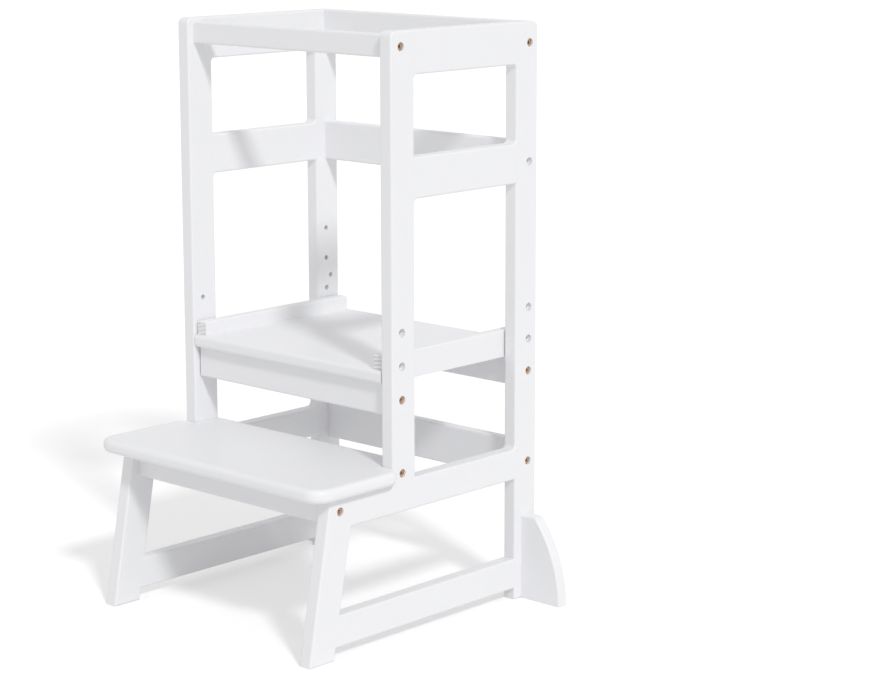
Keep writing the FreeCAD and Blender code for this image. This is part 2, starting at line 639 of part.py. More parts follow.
def step_nodes():
    """The step board, held by a bolt through each front post and by dowels in its apron."""
    pegs = board_pegs(STEP_APRON_Y, STEP_SEAT_HEIGHT)
    bolt_holes = [
        bolt_channel(FRONT_ROW_Y, STEP_BOLT_Z),
        nut_hole(FRONT_ROW_Y, STEP_BOLT_Z, -ALONG_Z, STEP_THICKNESS / 2),
    ]
    holes = both_sides(bolt_holes) + [dowel_hole(peg) for peg in pegs]
    return {
        "step_board": [cut_away(step_board(), holes)],
        "step_board_dowels": [dowel(peg) for peg in pegs],
    }


# ---------------------------------------------------------------- platform
def platform_aprons():
    """The rails under the platform's board, which take its bolts."""
    return [
        Rail(name, y, PLATFORM_APRON_LOW, PLATFORM_APRON_HEIGHT, PLATFORM_SIDE_X, PLATFORM_BOLT_Z, ())
        for name, y in (("platform_front_apron", FRONT_ROW_Y), ("platform_rear_apron", REAR_ROW_Y))
    ]


def platform_board():
    low_corner = Vector(-PLATFORM_SIDE_X, POST_FRONT_Y, PLATFORM_LOW)
    board = block(low_corner, Vector(PLATFORM_SIDE_X, PLATFORM_REAR_Y, PLATFORM_TOP))

    def on_nose(point):
        return near(point.y, POST_FRONT_Y) and (near(point.z, PLATFORM_LOW) or near(point.z, PLATFORM_TOP))

    return board.makeFillet(PLATFORM_NOSE_ROUND, edges_where(board, on_nose))


def platform_cleat():
    """The right cleat, which stands on the board's side edge."""
    top = PLATFORM_TOP + CLEAT_HEIGHT
    low_corner = Vector(PLATFORM_SIDE_X - CLEAT_THICKNESS, CLEAT_FRONT_Y, PLATFORM_TOP)
    cleat = block(low_corner, Vector(PLATFORM_SIDE_X, PLATFORM_REAR_Y, top))
    return cleat.makeFillet(EDGE_ROUND, edges_where(cleat, lambda p: near(p.z, top)))


def cleat_screw(y, clearance):
    """Countersunk screw up through the board into the right cleat, or with a clearance the hole for it."""
    head_radius = CLEAT_SCREW_HEAD_DIAMETER / 2 + clearance
    shank_radius = CLEAT_SCREW_DIAMETER / 2 + clearance
    start = Vector(PLATFORM_SIDE_X - CLEAT_THICKNESS / 2, y, PLATFORM_LOW)
    head = Part.makeCone(head_radius, shank_radius, head_radius - shank_radius, start)
    return head.fuse(cylinder(start, ALONG_Z, CLEAT_SCREW_LENGTH + clearance, 2 * shank_radius))


def cleat_screws(clearance):
    middle_y = (CLEAT_FRONT_Y + PLATFORM_REAR_Y) / 2
    return both_sides([cleat_screw(middle_y + k * CLEAT_SCREW_SPACING, clearance) for k in (-1, 0, 1)])


def platform_nodes():
    aprons = platform_aprons()
    nodes = {apron.name: rail_node(apron, board_pegs(apron.y, PLATFORM_LOW)) for apron in aprons}
    pegs = [peg for apron in aprons for peg in board_pegs(apron.y, PLATFORM_LOW)]
    screw_holes = cleat_screws(CLEAT_SCREW_CLEARANCE)
    cleat = cut_away(platform_cleat(), screw_holes)
    bolts = [bolt(apron.y, apron.bolt_height) for apron in aprons]
    nuts = [barrel_nut(apron.y, apron.bolt_height, ALONG_Y) for apron in aprons]
    nodes["platform_board"] = [cut_away(platform_board(), screw_holes + [dowel_hole(peg) for peg in pegs])]
    nodes["right_platform_cleat"] = [cleat]
    nodes["left_platform_cleat"] = [mirrored(cleat)]
    nodes["platform_bolts"] = both_sides(bolts)
    nodes["platform_barrel_nuts"] = both_sides(nuts)
    nodes["platform_dowels"] = [dowel(peg) for peg in pegs]
    nodes["cleat_screws"] = cleat_screws(0)
    return nodes


# ---------------------------------------------------------------- floor wings
def floor_wing():
    """The right wing: a plate square to the side frame, whose outer edge is an arc, upright at the floor."""
    foot_x = OUTER_X + WING_REACH
    shoulder_x = OUTER_X + WING_TOP_WIDTH
    run = foot_x - shoulder_x
    radius = (run**2 + WING_HEIGHT**2) / (2 * run)
    half_sweep = math.asin(WING_HEIGHT / radius) / 2
    arc_middle_x = foot_x - radius * (1 - math.cos(half_sweep))
    arc_middle = Vector(arc_middle_x, WING_FRONT_Y, radius * math.sin(half_sweep))
    inner_foot = Vector(OUTER_X, WING_FRONT_Y, 0)
    outer_foot = Vector(foot_x, WING_FRONT_Y, 0)
    shoulder = Vector(shoulder_x, WING_FRONT_Y, WING_HEIGHT)
    inner_top = Vector(OUTER_X, WING_FRONT_Y, WING_HEIGHT)
    outline = [
        line(inner_foot, outer_foot),
        arc(outer_foot, arc_middle, shoulder),
        line(shoulder, inner_top),
        line(inner_top, inner_foot),
    ]
    plate = Part.Face(Part.Wire(outline)).extrude(ALONG_Y * WING_THICKNESS)
    corner = edges_where(plate, lambda p: near(p.x, shoulder_x) and near(p.z, WING_HEIGHT))
    plate = plate.makeFillet(WING_TOP_ROUND, corner)

    rims = edges_where(plate, lambda p: near(p.y, WING_FRONT_Y) or near(p.y, WING_REAR_Y))
    free = [rim for rim in rims if rim.CenterOfMass.x - OUTER_X > CUT_MARGIN and rim.CenterOfMass.z > CUT_MARGIN]
    return plate.makeFillet(WING_EDGE_ROUND, free)


def wing_nodes():
    wing = cut_away(floor_wing(), [dowel_hole(peg) for peg in wing_pegs()])
    return {
        "right_floor_wing": [wing],
        "left_floor_wing": [mirrored(wing)],
        "wing_dowels": both_sides([dowel(peg) for peg in wing_pegs()]),
    }


# ---------------------------------------------------------------- assembly
def assembly():
    rails = cross_rails()
    nodes = side_frame_nodes(rails)
    nodes.update(cross_rail_nodes(rails))
    nodes.update(frame_hardware_nodes(rails))
    nodes.update(step_nodes())
    nodes.update(platform_nodes())
    nodes.update(wing_nodes())
    return nodes


def export(nodes):
    os.makedirs("parts", exist_ok=True)
    for name, shapes in nodes.items():
        solids = [solid for shape in shapes for solid in shape.Solids]
        shape = solids[0] if len(solids) == 1 else Part.makeCompound(solids)
        shape.exportStep("parts/" + name + ".step")
        print(name, len(solids), "solids,", round(shape.Volume), "mm3, valid:", shape.isValid())


export(assembly())
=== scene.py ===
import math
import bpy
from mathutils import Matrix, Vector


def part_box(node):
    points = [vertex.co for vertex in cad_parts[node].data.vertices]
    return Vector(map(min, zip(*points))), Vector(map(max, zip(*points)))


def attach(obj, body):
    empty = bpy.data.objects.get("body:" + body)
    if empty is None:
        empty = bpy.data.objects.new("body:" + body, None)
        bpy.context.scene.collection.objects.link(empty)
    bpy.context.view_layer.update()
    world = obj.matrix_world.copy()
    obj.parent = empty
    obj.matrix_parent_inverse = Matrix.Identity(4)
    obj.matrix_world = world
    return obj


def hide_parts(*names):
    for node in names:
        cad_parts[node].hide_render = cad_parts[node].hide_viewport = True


bl_info = {
    "name": "Toddler Helper Stool",
    "version": (1, 0, 0),
    "blender": (4, 5, 0),
    "location": "View3D > Sidebar > Stool",
    "description": "Dresses the packed model of a white wooden helper stool and sets its studio",
    "category": "Object",
}

import bmesh
import bpy
from mathutils import Vector

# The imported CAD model. Every place below is in metres, in its frame: X across the stool, -Y towards the step.
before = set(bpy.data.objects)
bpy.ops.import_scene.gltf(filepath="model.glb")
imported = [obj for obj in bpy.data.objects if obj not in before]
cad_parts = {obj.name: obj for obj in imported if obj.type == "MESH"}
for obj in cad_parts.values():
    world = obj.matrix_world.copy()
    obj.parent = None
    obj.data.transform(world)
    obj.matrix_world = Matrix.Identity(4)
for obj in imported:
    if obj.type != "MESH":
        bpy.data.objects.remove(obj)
bpy.context.view_layer.update()

MM = 0.001
ALONG_X, ALONG_Y, ALONG_Z = 0, 1, 2
OUTWARD = "outward"  # attribute: the direction that a repeated piece faces
PLACE_ON_PIECE = "place_on_piece"  # attribute: a point's place on its own bolt, nut or screw

# How the finish changes over a painted board; a share is how much of the thin paint's colour each part brings
GRAIN_SLOWING = 0.955  # how much slower the grain changes along a board than across it
TONE_SCALE = 9.0  # of the slow changes over a board
GRAIN_SHARE, EDGE_SHARE, TONE_SHARE = 0.30, 0.45, 0.30
GLOSS_BY_TONE, GLOSS_BY_PEEL = 0.16, 0.08  # change of roughness from the least to the most of each
SEED_BY_LOW_X, SEED_BY_LOW_Y, SEED_BY_HIGH_Z = 31, 17, 7  # a board's place gives it a grain of its own
END_FACE_DEPTH = 0.1 * MM  # a place on a board nearer to its end than this is on the end face
RING_WAVER = 1.5 * MM  # how far a growth ring strays from its circle
RING_DARKNESS, RING_CONTRAST = 0.4, 0.3  # of the rings' colour over the paint

# Plated metal and bare beech
PATCH_SIZE = 2.5 * MM  # of the plating's dull patches
PATCH_CONTRAST, PATCH_LEVEL = 2.4, -0.9  # make a mask of the patches' noise
DULL_ROUGHENING = 0.2  # roughness added where the plating has dulled
BEECH, BEECH_GROWTH, BEECH_FLECK = (0.80, 0.62, 0.42, 1), (0.62, 0.44, 0.27, 1), (0.36, 0.22, 0.12, 1)
GROWTH_SCALE, FLECK_SCALE = 260.0, 900.0
FLECK_RADIUS, FLECK_STRENGTH = 0.14, 0.35
BEECH_ROUGHNESS, BEECH_ROUGHENING = 0.5, 0.2  # the smoothest growth, and what the roughest adds

# Shapes of the metal pieces, most of them as shares of the sizes that a user sets
ROUND_SIDES = 48  # of every bolt, nut and screw
HEX_SIDES, HEX_CORNERS = 6, 2 / math.sqrt(3)  # width across a hexagon's corners for 1 across its flats
MOUTH_LOW, MOUTH_TOP = 0.95, 1.6  # widths of the socket's lead-in, of the socket's width
MOUTH_DEPTH = 0.6  # of the lead-in below the head's top, of the head's chamfer
DRILL_WIDTH, DRILL_DEPTH = 0.9, 0.2  # of the drill's point under the socket, of the socket's width
DRILL_SUNK = 0.95  # share of that point that lies under the socket's floor
SHANK_OVERLAP = 0.5 * MM  # how far a shank reaches into its head
CUT_REACH = 1.5  # length of what cuts a nut's hole and slot, of the nut's diameter
RECESS_REACH, RECESS_DEPTH = 0.55, 1.4  # of the head's diameter; of its height, half of it in the head
TIP_WIDTH = 0.1  # of a screw's shank
SHARP_ANGLE = math.radians(30)  # edges that turn by more stay sharp
WELD_DISTANCE = 1e-6  # corners of loose triangles nearer than this are one corner
SORTING_DIGITS = 4  # solids are sorted by their places, rounded to a tenth of a millimetre

SENSOR_WIDTH = 36  # millimetres
KEY_DISTANCE = 3  # of the key light's object from the stool; its light is parallel
WHITE = (1, 1, 1, 1)

# The painted boards of each operator; those of a side frame with the axis that their grain runs along.
SIDE_BOARDS = {
    "front_leg": ALONG_Z,
    "front_post": ALONG_Z,
    "rear_post": ALONG_Z,
    "top_side_rail": ALONG_Y,
    "mid_side_rail": ALONG_Y,
    "step_side_rail": ALONG_Y,
    "bottom_side_rail": ALONG_Y,
}
CROSS_RAILS = ("top_front_rail", "top_back_rail", "mid_back_rail", "low_back_rail")
STEP_BOARDS = ("step_board", "step_front_apron")
PLATFORM_BOARDS = ("platform_board", "platform_front_apron", "platform_rear_apron")
WINGS = ("right_floor_wing", "left_floor_wing")

# The cleats' ends show their growth rings: the way from each cleat's middle to the heart of its tree, and how
# strongly the rings show. Other boards show none.
CLEAT_RINGS = {
    "right_platform_cleat": (Vector((6, 0, -70)) * MM, 1.0),
    "left_platform_cleat": (Vector((17, 0, -68)) * MM, 0.62),
}
NO_RINGS = (Vector(), 0.0)

DOWELS = (
    "right_side_frame_dowels",
    "left_side_frame_dowels",
    "cross_rail_dowels",
    "step_board_dowels",
    "wing_dowels",
    "platform_dowels",
)


# ---------------------------------------------------------------- sizes and colours
class StoolPaint(bpy.types.PropertyGroup):
    """White satin paint on the boards."""

    colour: bpy.props.FloatVectorProperty(
        name="Paint", description="Colour of the paint", subtype="COLOR", size=4, min=0, max=1,
        default=(0.868, 0.872, 0.896, 1),
    )
    thin_colour: bpy.props.FloatVectorProperty(
        name="Thin Paint", description="Colour where the paint is thin, on eased edges and in the grain",
        subtype="COLOR", size=4, min=0, max=1, default=(0.850, 0.848, 0.852, 1),
    )
    # Painted shade: the joint line is a dark hairline painted where two boards meet. It stands in for the
    # shadow in a seam that the boards' faces don't have
    seam_shade_colour: bpy.props.FloatVectorProperty(
        name="Seam Shade", description="Colour of the hairline where two boards meet",
        subtype="COLOR", size=4, min=0, max=1, default=(0.52, 0.52, 0.53, 1),
    )
    roughness: bpy.props.FloatProperty(
        name="Roughness", description="Roughness of the satin paint", default=0.42, min=0, max=1,
        subtype="FACTOR",
    )
    peel_size: bpy.props.FloatProperty(
        name="Peel Size", description="Size of the sprayed paint's fine ripple", default=1.6 * MM,
        min=0.2 * MM, unit="LENGTH", subtype="DISTANCE",
    )
    peel_depth: bpy.props.FloatProperty(
        name="Peel Depth", description="Depth of the sprayed paint's fine ripple", default=0.018 * MM,
        min=0, unit="LENGTH", subtype="DISTANCE", precision=6,
    )
    grain_size: bpy.props.FloatProperty(
        name="Grain Width", description="Width of the wood's grain lines that show through the paint",
        default=2.4 * MM, min=0.2 * MM, unit="LENGTH", subtype="DISTANCE",
    )
    grain_depth: bpy.props.FloatProperty(
        name="Grain Depth", description="Depth of the wood's grain lines under the paint", default=0.03 * MM,
        min=0, unit="LENGTH", subtype="DISTANCE", precision=6,
    )
    edge_width: bpy.props.FloatProperty(
        name="Edge Width", description="How far the thinner paint reaches from a board's eased edges",
        default=4 * MM, min=0.1 * MM, unit="LENGTH", subtype="DISTANCE",
    )
    # Width and strengths of that painted seam shade
    seam_shade_width: bpy.props.FloatProperty(
        name="Seam Shade Width", description="Width of the hairline where two boards meet",
        default=0.4 * MM, min=0.05 * MM, unit="LENGTH", subtype="DISTANCE",
    )
    seam_shade_strength: bpy.props.FloatProperty(
        name="Seam Shade Strength",
        description="How clearly the hairline shows at the ends of rails and aprons",
        default=0.45, min=0, max=1, subtype="FACTOR",
    )
    sprayed_seam_shade_strength: bpy.props.FloatProperty(
        name="Sprayed Seam Shade",
        description="How clearly it shows inside the side frames, which are sprayed as one piece",
        default=0.07, min=0, max=1, subtype="FACTOR",
    )
    ring_colour: bpy.props.FloatVectorProperty(
        name="End Grain", description="Colour of the thinly painted end grain on the cleats", subtype="COLOR",
        size=4, min=0, max=1, default=(0.50, 0.49, 0.48, 1),
    )
    ring_spacing: bpy.props.FloatProperty(
        name="Ring Spacing", description="Spacing of the growth rings on the cleats' ends", default=6.0 * MM,
        min=0.2 * MM, unit="LENGTH", subtype="DISTANCE",
    )


class StoolBolts(bpy.types.PropertyGroup):
    """Socket-head bolts in the counterbores."""

    colour: bpy.props.FloatVectorProperty(
        name="Plating", description="Colour of the bolts' plating", subtype="COLOR", size=4, min=0, max=1,
        default=(0.66, 0.45, 0.29, 1),
    )
    tarnish: bpy.props.FloatVectorProperty(
        name="Tarnish", description="Colour of the plating where it has dulled", subtype="COLOR", size=4,
        min=0, max=1, default=(0.22, 0.115, 0.06, 1),
    )
    head_diameter: bpy.props.FloatProperty(
        name="Head Diameter", description="Across a bolt's head", default=12 * MM, min=MM, unit="LENGTH",
        subtype="DISTANCE",
    )
    head_height: bpy.props.FloatProperty(
        name="Head Height", description="Height of a bolt's head", default=3.5 * MM, min=0.5 * MM,
        unit="LENGTH", subtype="DISTANCE",
    )
    head_chamfer: bpy.props.FloatProperty(
        name="Head Chamfer", description="Chamfer round the head's rim", default=0.6 * MM, min=0.1 * MM,
        unit="LENGTH", subtype="DISTANCE",
    )
    socket_width: bpy.props.FloatProperty(
        name="Socket Width", description="Across the flats of the hexagonal socket", default=5 * MM,
        min=0.5 * MM, unit="LENGTH", subtype="DISTANCE",
    )
    socket_depth: bpy.props.FloatProperty(
        name="Socket Depth", description="Depth of the hexagonal socket", default=2.8 * MM, min=0.5 * MM,
        unit="LENGTH", subtype="DISTANCE",
    )
    shank_diameter: bpy.props.FloatProperty(
        name="Shank Diameter", description="Across a bolt's shank", default=6 * MM, min=MM, unit="LENGTH",
        subtype="DISTANCE",
    )


class StoolNuts(bpy.types.PropertyGroup):
    """Barrel nuts in the rails, and the screws under the platform."""

    colour: bpy.props.FloatVectorProperty(
        name="Zinc", description="Colour of the zinc plating", subtype="COLOR", size=4, min=0, max=1,
        default=(0.66, 0.67, 0.69, 1),
    )
    tarnish: bpy.props.FloatVectorProperty(
        name="Dull Zinc", description="Colour of the zinc where it has dulled", subtype="COLOR", size=4,
        min=0, max=1, default=(0.38, 0.39, 0.40, 1),
    )
    nut_chamfer: bpy.props.FloatProperty(
        name="Nut Chamfer", description="Chamfer at the ends of a barrel nut", default=0.6 * MM, min=0.1 * MM,
        unit="LENGTH", subtype="DISTANCE",
    )
    slot_width: bpy.props.FloatProperty(
        name="Slot Width", description="Width of the screwdriver slot", default=1.3 * MM, min=0.2 * MM,
        unit="LENGTH", subtype="DISTANCE",
    )
    thread_hole: bpy.props.FloatProperty(
        name="Thread Hole", description="Across the threaded hole of a barrel nut", default=6.1 * MM,
        min=MM, unit="LENGTH", subtype="DISTANCE",
    )
    screw_diameter: bpy.props.FloatProperty(
        name="Screw Diameter", description="Across the shank of a cleat screw", default=4 * MM, min=MM,
        unit="LENGTH", subtype="DISTANCE",
    )
    recess_width: bpy.props.FloatProperty(
        name="Recess Width", description="Width of each arm of a screw's cross recess", default=1.1 * MM,
        min=0.2 * MM, unit="LENGTH", subtype="DISTANCE",
    )


class StoolStage(bpy.types.PropertyGroup):
    """Camera, light and floor."""

    camera_place: bpy.props.FloatVectorProperty(
        name="Camera Place", description="Where the camera stands", subtype="TRANSLATION", size=3,
        default=(2.5793, -2.5051, 1.1396),
    )
    camera_turn: bpy.props.FloatProperty(
        name="Camera Turn", description="Turn of the camera about the vertical, from looking along +Y",
        subtype="ANGLE", default=math.radians(42.375),
    )
    camera_tilt: bpy.props.FloatProperty(
        name="Camera Tilt", description="How far the camera looks down", subtype="ANGLE",
        default=math.radians(10.586),
    )
    lens: bpy.props.FloatProperty(
        name="Lens", description="Focal length for a 36 mm wide sensor", default=96.2, min=10, unit="CAMERA",
    )
    shift: bpy.props.FloatVectorProperty(
        name="Shift", description="Sideways and upward shift of the lens", size=2,
        default=(-0.0158, -0.0504),
    )
    key_strength: bpy.props.FloatProperty(
        name="Key Light", description="Strength of the soft light from the right", default=1.28, min=0,
    )
    key_from: bpy.props.FloatVectorProperty(
        name="Key Direction", description="Direction that the key light comes from", subtype="DIRECTION",
        size=3, default=(0.70, -0.315, 0.64),
    )
    key_softness: bpy.props.FloatProperty(
        name="Key Softness", description="Angle that the key light fills", subtype="ANGLE",
        default=math.radians(7),
    )
    room_strength: bpy.props.FloatProperty(
        name="Room Light", description="Strength of the even light from all round", default=0.645, min=0,
    )
    floor_colour: bpy.props.FloatVectorProperty(
        name="Floor", description="Colour of the floor", subtype="COLOR", size=4, min=0, max=1,
        default=(0.90, 0.90, 0.90, 1),
    )
    floor_glow: bpy.props.FloatProperty(
        name="Floor Glow", description="White added to the floor where the camera sees it", default=0.24,
        min=0,
    )
    floor_size: bpy.props.FloatProperty(
        name="Floor Size", description="Side of the square floor", default=120, min=1, unit="LENGTH",
        subtype="DISTANCE",
    )


# ---------------------------------------------------------------- node helpers
def add_node(tree, kind, inputs=None, **settings):
    """A new node with its settings; each input takes a value, another node's output, or a list of outputs."""
    node = tree.nodes.new(kind)
    for name, value in settings.items():
        setattr(node, name, value)
    for key, value in (inputs or {}).items():
        sources = value if isinstance(value, list) else [value]
        if isinstance(sources[0], bpy.types.NodeSocket):
            for source in sources:
                tree.links.new(source, node.inputs[key])
        else:
            node.inputs[key].default_value = value
    return node


def add_sockets(tree, in_out, sockets):
    """Gives a tree its named inputs or outputs."""
    for name, kind in sockets.items():
        tree.interface.new_socket(name, in_out=in_out, socket_type="NodeSocket" + kind)


def calculate(tree, operation, *values, clamp=False):
    """A Math node's output."""
    node = add_node(tree, "ShaderNodeMath", dict(enumerate(values)), operation=operation, use_clamp=clamp)
    return node.outputs[0]


def times(tree, value, factor):
    return calculate(tree, "MULTIPLY", value, factor)


def calculate_vector(tree, operation, *values):
    """A Vector Math node's vector."""
    node = add_node(tree, "ShaderNodeVectorMath", dict(enumerate(values)), operation=operation)
    return node.outputs[0]


def mix_colours(tree, factor, first, second):
    """A Mix node's colour; its colour sockets come after those for numbers and vectors."""
    node = add_node(tree, "ShaderNodeMix", {0: factor, 6: first, 7: second}, data_type="RGBA")
    return node.outputs[2]


# ---------------------------------------------------------------- shader groups
def painted_board_group():
    """Sprayed paint over wood: thin on eased edges, with a hairline of painted seam shade and end grain at the
    board's ends.
    """
    tree = bpy.data.node_groups.new("Painted Board", "ShaderNodeTree")
    add_sockets(
        tree, "INPUT",
        {
            "Board Low": "Vector", "Board High": "Vector", "Along Grain": "Vector", "Seed": "Float",
            "Paint": "Color", "Thin Paint": "Color", "Seam Shade": "Color", "Roughness": "Float",
            "Peel Size": "Float", "Peel Depth": "Float", "Grain Width": "Float", "Grain Depth": "Float",
            "Edge Width": "Float", "Seam Shade Width": "Float", "Seam Shade Strength": "Float",
            "Heart": "Vector", "Ring Spacing": "Float", "Ring Colour": "Color", "Ring Strength": "Float",
        },
    )
    add_sockets(tree, "OUTPUT", {"Color": "Color", "Roughness": "Float", "Normal": "Vector"})
    given = tree.nodes.new("NodeGroupInput").outputs
    place = add_node(tree, "ShaderNodeTexCoord").outputs["Object"]

    def fade(distance, width):
        """1 at no distance, falling to 0 at this width."""
        return calculate(tree, "SUBTRACT", 1.0, calculate(tree, "DIVIDE", distance, width), clamp=True)

    # distance to the nearest face of the board's box along each axis, then to its long edges and to its ends
    along = given["Along Grain"]
    cross_grain = calculate_vector(tree, "SUBTRACT", (1.0,) * 3, along)
    from_low = calculate_vector(tree, "SUBTRACT", place, given["Board Low"])
    from_high = calculate_vector(tree, "SUBTRACT", given["Board High"], place)
    to_face = calculate_vector(tree, "MINIMUM", from_low, from_high)
    sideways = add_node(
        tree, "ShaderNodeSeparateXYZ", {0: calculate_vector(tree, "MULTIPLY", to_face, cross_grain)}
    ).outputs
    to_edge = calculate(tree, "MAXIMUM", calculate(tree, "MAXIMUM", sideways[0], sideways[1]), sideways[2])
    edge = fade(to_edge, given["Edge Width"])
    to_end = add_node(
        tree, "ShaderNodeVectorMath", {0: to_face, 1: along}, operation="DOT_PRODUCT"
    ).outputs["Value"]
    # painted shade: a dark hairline at the board's ends, for the shadow in the seam where it meets another
    # board
    seam_shade_mask = fade(to_end, given["Seam Shade Width"])

    # grain: noise stretched along the board; peel: fine even noise; tone: slow changes over the board
    stretch = calculate_vector(tree, "MULTIPLY_ADD", along, (-GRAIN_SLOWING,) * 3, (1.0,) * 3)
    stretched = calculate_vector(tree, "MULTIPLY", place, stretch)

    def noise(vector, scale, detail, roughness):
        return add_node(
            tree, "ShaderNodeTexNoise",
            {"Vector": vector, "W": given["Seed"], "Scale": scale, "Detail": detail, "Roughness": roughness},
            noise_dimensions="4D",
        ).outputs[0]

    grain = noise(stretched, calculate(tree, "DIVIDE", 1.0, given["Grain Width"]), detail=3.0, roughness=0.6)
    peel = noise(place, calculate(tree, "DIVIDE", 1.0, given["Peel Size"]), detail=1.5, roughness=0.5)
    tone = noise(place, TONE_SCALE, detail=2.0, roughness=0.5)

    thin = times(tree, grain, GRAIN_SHARE)
    thin = calculate(tree, "MULTIPLY_ADD", edge, EDGE_SHARE, thin)
    thin = calculate(tree, "MULTIPLY_ADD", tone, TONE_SHARE, thin, clamp=True)
    colour = mix_colours(tree, thin, given["Paint"], given["Thin Paint"])
    # the hairline's painted seam shade darkens the paint's colour
    seam_shade_amount = times(tree, seam_shade_mask, given["Seam Shade Strength"])
    colour = mix_colours(tree, seam_shade_amount, colour, given["Seam Shade"])

    # growth rings round the heart of the tree, on the board's end faces alone
    from_heart = calculate_vector(tree, "SUBTRACT", place, given["Heart"])
    radius = add_node(
        tree, "ShaderNodeVectorMath", {0: calculate_vector(tree, "MULTIPLY", from_heart, cross_grain)},
        operation="LENGTH",
    ).outputs["Value"]
    waver = calculate(tree, "MULTIPLY_ADD", grain, RING_WAVER, radius)
    turns = calculate(tree, "DIVIDE", times(tree, waver, math.tau), given["Ring Spacing"])
    ring = calculate(tree, "MULTIPLY_ADD", calculate(tree, "SINE", turns), RING_CONTRAST, RING_DARKNESS)
    on_end = calculate(tree, "LESS_THAN", to_end, END_FACE_DEPTH)
    bare = times(tree, times(tree, ring, on_end), given["Ring Strength"])
    colour = mix_colours(tree, bare, colour, given["Ring Colour"])

    gloss_change = calculate(tree, "MULTIPLY_ADD", tone, GLOSS_BY_TONE, -GLOSS_BY_TONE / 2)
    gloss_change = calculate(tree, "MULTIPLY_ADD", peel, GLOSS_BY_PEEL, gloss_change)
    rough = calculate(tree, "ADD", given["Roughness"], gloss_change, clamp=True)

    height = times(tree, grain, given["Grain Depth"])
    height = calculate(tree, "MULTIPLY_ADD", peel, given["Peel Depth"], height)
    bump = add_node(tree, "ShaderNodeBump", {"Height": height, "Strength": 1.0, "Distance": 1.0})
    add_node(
        tree, "NodeGroupOutput", {"Color": colour, "Roughness": rough, "Normal": bump.outputs[0]}
    )
    return tree


def turned_metal_group():
    """Plated metal: turning marks in rings round the piece's own axis, and dull patches."""
    tree = bpy.data.node_groups.new("Turned Metal", "ShaderNodeTree")
    add_sockets(
        tree, "INPUT",
        {
            "Place on Piece": "Vector", "Plating": "Color", "Tarnish": "Color", "Roughness": "Float",
            "Ring Spacing": "Float", "Ring Depth": "Float", "Patch Size": "Float",
        },
    )
    add_sockets(tree, "OUTPUT", {"Color": "Color", "Roughness": "Float", "Normal": "Vector"})
    given = tree.nodes.new("NodeGroupInput").outputs
    parts = add_node(tree, "ShaderNodeSeparateXYZ", {0: given["Place on Piece"]}).outputs
    across_squared = calculate(tree, "MULTIPLY_ADD", parts[0], parts[0], times(tree, parts[1], parts[1]))
    distance = calculate(tree, "ADD", calculate(tree, "SQRT", across_squared), parts[2])
    turns = calculate(tree, "DIVIDE", times(tree, distance, math.tau), given["Ring Spacing"])
    rings = times(tree, calculate(tree, "SINE", turns), given["Ring Depth"])
    place = add_node(tree, "ShaderNodeTexCoord").outputs["Object"]
    patches = add_node(
        tree, "ShaderNodeTexNoise",
        {"Vector": place, "Scale": calculate(tree, "DIVIDE", 1.0, given["Patch Size"]), "Detail": 3.0},
    ).outputs[0]
    dull = calculate(tree, "MULTIPLY_ADD", patches, PATCH_CONTRAST, PATCH_LEVEL, clamp=True)
    colour = mix_colours(tree, dull, given["Plating"], given["Tarnish"])
    rough = calculate(tree, "MULTIPLY_ADD", dull, DULL_ROUGHENING, given["Roughness"], clamp=True)
    bump = add_node(tree, "ShaderNodeBump", {"Height": rings, "Strength": 1.0, "Distance": 1.0})
    add_node(
        tree, "NodeGroupOutput", {"Color": colour, "Roughness": rough, "Normal": bump.outputs[0]}
    )
    return tree


def shared_group(name, build):
    """A shader group that is built once and used by every material that needs it."""
    return bpy.data.node_groups.get(name) or build()


# ---------------------------------------------------------------- materials
def new_material(name):
    """A material with its node tree and its empty Principled shader."""
    material = bpy.data.materials.new(name)
    material.use_nodes = True
    tree = material.node_tree
    return material, tree, tree.nodes["Principled BSDF"]


def link_group(tree, shader, group, values):
    """Puts a finish group in a material and joins it to the shader."""
    node = add_node(tree, "ShaderNodeGroup", values, node_tree=group)
    for output, socket in (("Color", "Base Color"), ("Roughness", "Roughness"), ("Normal", "Normal")):
        tree.links.new(node.outputs[output], shader.inputs[socket])


def board_material(name, grain_axis, seam_shade_strength, rings=NO_RINGS):
    """White satin paint for one board, whose grain and ends are its own."""
    paint = bpy.context.scene.stool_paint
    material, tree, shader = new_material("Painted " + name.replace("_", " "))
    low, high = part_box(name)
    to_heart, ring_strength = rings
    link_group(
        tree, shader, shared_group("Painted Board", painted_board_group),
        {
            "Board Low": low, "Board High": high,
            "Along Grain": [float(axis == grain_axis) for axis in range(3)],
            "Seed": low.x * SEED_BY_LOW_X + low.y * SEED_BY_LOW_Y + high.z * SEED_BY_HIGH_Z,
            # the joint line values paint shade into the seam at the board's ends
            "Paint": paint.colour, "Thin Paint": paint.thin_colour, "Seam Shade": paint.seam_shade_colour,
            "Roughness": paint.roughness, "Peel Size": paint.peel_size, "Peel Depth": paint.peel_depth,
            "Grain Width": paint.grain_size, "Grain Depth": paint.grain_depth,
            "Edge Width": paint.edge_width, "Seam Shade Width": paint.seam_shade_width,
            "Seam Shade Strength": seam_shade_strength, "Heart": (low + high) / 2 + to_heart,
            "Ring Spacing": paint.ring_spacing, "Ring Colour": paint.ring_colour,
            "Ring Strength": ring_strength,
        },
    )
    shader.inputs["Specular IOR Level"].default_value = 0.4
    shader.inputs["Coat Weight"].default_value = 0.08
    shader.inputs["Coat Roughness"].default_value = 0.25
    return material


